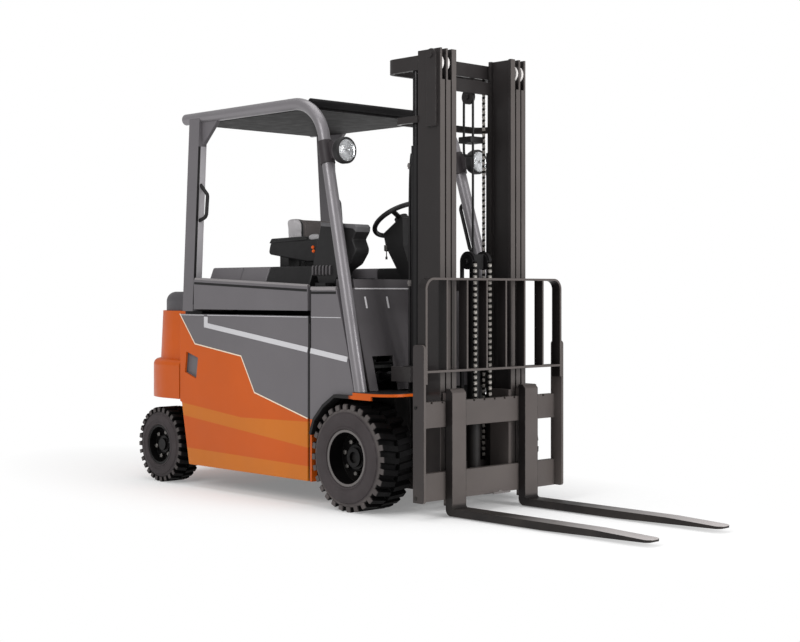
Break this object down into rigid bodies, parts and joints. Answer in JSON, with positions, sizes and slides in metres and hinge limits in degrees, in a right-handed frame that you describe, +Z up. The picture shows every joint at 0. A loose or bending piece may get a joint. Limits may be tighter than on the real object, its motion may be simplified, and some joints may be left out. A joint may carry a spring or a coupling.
{
  "type": "counterbalance forklift truck",
  "caption": "Electric counterbalance forklift with a tilting three-stage mast, forks, steered rear wheels, opening battery hood and side doors under an overhead guard.",
  "frame": {"origin": "on the floor, under the middle of the bounding box", "axes": "+X forward along the forks, +Y to the driver's left, +Z up"},
  "size_m": [3.895, 1.252, 2.46],
  "materials": {
    "orange_cast": "satin orange paint on cast iron",
    "orange_panel": "satin orange",
    "grey_panel": "satin mid grey",
    "dark_panel": "fine-grained dark grey",
    "dark_paint": "satin near-black paint",
    "grey_paint": "satin grey paint",
    "carriage_paint": "worn dark grey paint",
    "steel": "ground steel",
    "tyre": "dull black rubber",
    "rim": "dark satin paint",
    "black_plastic": "grained black plastic",
    "seat": "black vinyl",
    "battery": "dark tray paint",
    "lamp": "black lamp body"
  },
  "bodies": {
    "chassis": {"chassis_frame": "dark_paint", "battery_block": "battery", "counterweight": "orange_cast", "counterweight_cover": "grey_panel", "drive_axle": "dark_paint", "steer_axle": "dark_paint", "front_panels": "grey_panel", "front_fenders": "orange_panel", "floor_plate": "dark_paint", "front_cowl": "dark_panel", "steering_column": "black_plastic", "guard_side_tubes": "grey_paint", "guard_rear_pillars": "grey_paint", "guard_roof": "dark_paint", "headlamps": "lamp", "side_console": "black_plastic", "guard_handles": "black_plastic"},
    "hood": {"battery_hood": "grey_panel", "seat_base": "black_plastic", "seat_cushion": "seat", "seat_back": "seat", "armrest": "black_plastic"},
    "steering_wheel": {"steering_wheel": "black_plastic"},
    "mast_outer": {"mast_outer": "dark_paint", "lift_barrels": "dark_paint"},
    "mast_middle": {"mast_middle": "dark_paint", "lift_rods": "steel", "mast_chains": "steel"},
    "mast_inner": {"mast_inner": "dark_paint", "free_lift_barrel": "dark_paint"},
    "crosshead": {"crosshead": "steel"},
    "tilt_barrels": {"tilt_barrels": "dark_paint"},
    "tilt_rods": {"tilt_rods": "steel"},
    "carriage": {"carriage": "carriage_paint", "load_backrest": "carriage_paint", "lift_chains": "steel"},
    "front_wheel_right": {"front_tyre_right": "tyre", "front_rim_right": "rim"},
    "rear_wheel_right": {"rear_tyre_right": "tyre", "rear_rim_right": "rim"},
    "knuckle_right": {"knuckle_right": "dark_paint"},
    "door_right": {"door_upper_right": "grey_panel", "door_lower_right": "orange_panel"},
    "fork_right": {"fork_right": "carriage_paint"},
    "front_wheel_left": {"front_tyre_left": "tyre", "front_rim_left": "rim"},
    "rear_wheel_left": {"rear_tyre_left": "tyre", "rear_rim_left": "rim"},
    "knuckle_left": {"knuckle_left": "dark_paint"},
    "door_left": {"door_upper_left": "grey_panel", "door_lower_left": "orange_panel"},
    "fork_left": {"fork_left": "carriage_paint"}
  },
  "joints": [
    {"name": "mast_tilt", "type": "hinge", "parent": "chassis", "child": "mast_outer", "pos_m": [0.3375, 0, 0.255], "axis": [0, 1, 0], "range_deg": [-8, 6]},
    {"name": "tilt_barrel_swing", "type": "hinge", "parent": "chassis", "child": "tilt_barrels", "pos_m": [-0.2175, 0, 0.66], "axis": [0, -1, 0], "range_deg": [-1.07, 1.36]},
    {"name": "tilt_rod_slide", "type": "slide", "parent": "tilt_barrels", "child": "tilt_rods", "axis": [0.9906, 0, 0.1366], "range_m": [-0.0686, 0.052]},
    {"name": "middle_lift", "type": "slide", "parent": "mast_outer", "child": "mast_middle", "axis": [0, 0, 1], "range_m": [0, 1.5]},
    {"name": "inner_lift", "type": "slide", "parent": "mast_middle", "child": "mast_inner", "axis": [0, 0, 1], "range_m": [0, 1.5]},
    {"name": "carriage_lift", "type": "slide", "parent": "mast_inner", "child": "carriage", "axis": [0, 0, 1], "range_m": [0, 1.5], "deforming": ["lift_chains"]},
    {"name": "crosshead_lift", "type": "slide", "parent": "mast_inner", "child": "crosshead", "axis": [0, 0, 1], "range_m": [0, 0.75]},
    {"name": "fork_spread_right", "type": "slide", "parent": "carriage", "child": "fork_right", "axis": [0, -1, 0], "range_m": [-0.12, 0.15]},
    {"name": "fork_spread_left", "type": "slide", "parent": "carriage", "child": "fork_left", "axis": [0, 1, 0], "range_m": [-0.12, 0.15]},
    {"name": "hood_open", "type": "hinge", "parent": "chassis", "child": "hood", "pos_m": [-1.2165, 0, 1.23], "axis": [0, -1, 0], "range_deg": [0, 40]},
    {"name": "steering_wheel_turn", "type": "hinge", "parent": "chassis", "child": "steering_wheel", "pos_m": [-0.0425, 0, 1.59], "axis": [-0.5299, 0, 0.848], "continuous": true},
    {"name": "door_open_right", "type": "hinge", "parent": "chassis", "child": "door_right", "pos_m": [-0.1595, -0.594, 0.6], "axis": [0, 0, 1], "range_deg": [0, 90]},
    {"name": "door_open_left", "type": "hinge", "parent": "chassis", "child": "door_left", "pos_m": [-0.1595, 0.594, 0.6], "axis": [0, 0, -1], "range_deg": [0, 90]},
    {"name": "steer_right", "type": "hinge", "parent": "chassis", "child": "knuckle_right", "pos_m": [-1.5795, -0.398, 0.232], "axis": [0, 0, 1], "range_deg": [-70, 70]},
    {"name": "steer_left", "type": "hinge", "parent": "chassis", "child": "knuckle_left", "pos_m": [-1.5795, 0.398, 0.232], "axis": [0, 0, 1], "range_deg": [-70, 70]},
    {"name": "front_spin_right", "type": "hinge", "parent": "chassis", "child": "front_wheel_right", "pos_m": [0.1725, -0.498, 0.289], "axis": [0, 1, 0], "continuous": true},
    {"name": "rear_spin_right", "type": "hinge", "parent": "knuckle_right", "child": "rear_wheel_right", "pos_m": [-1.5795, -0.53, 0.232], "axis": [0, 1, 0], "continuous": true},
    {"name": "front_spin_left", "type": "hinge", "parent": "chassis", "child": "front_wheel_left", "pos_m": [0.1725, 0.498, 0.289], "axis": [0, 1, 0], "continuous": true},
    {"name": "rear_spin_left", "type": "hinge", "parent": "knuckle_left", "child": "rear_wheel_left", "pos_m": [-1.5795, 0.53, 0.232], "axis": [0, 1, 0], "continuous": true}
  ],
  "couplings": [
    {"joint": "tilt_barrel_swing", "follows": "mast_tilt", "ratio": -0.145},
    {"joint": "tilt_rod_slide", "follows": "mast_tilt", "m_per_rad": 0.477},
    {"joint": "inner_lift", "follows": "middle_lift", "ratio": 1},
    {"joint": "crosshead_lift", "follows": "carriage_lift", "ratio": 0.5},
    {"joint": "steer_left", "follows": "steer_right", "ratio": 1}
  ]
}
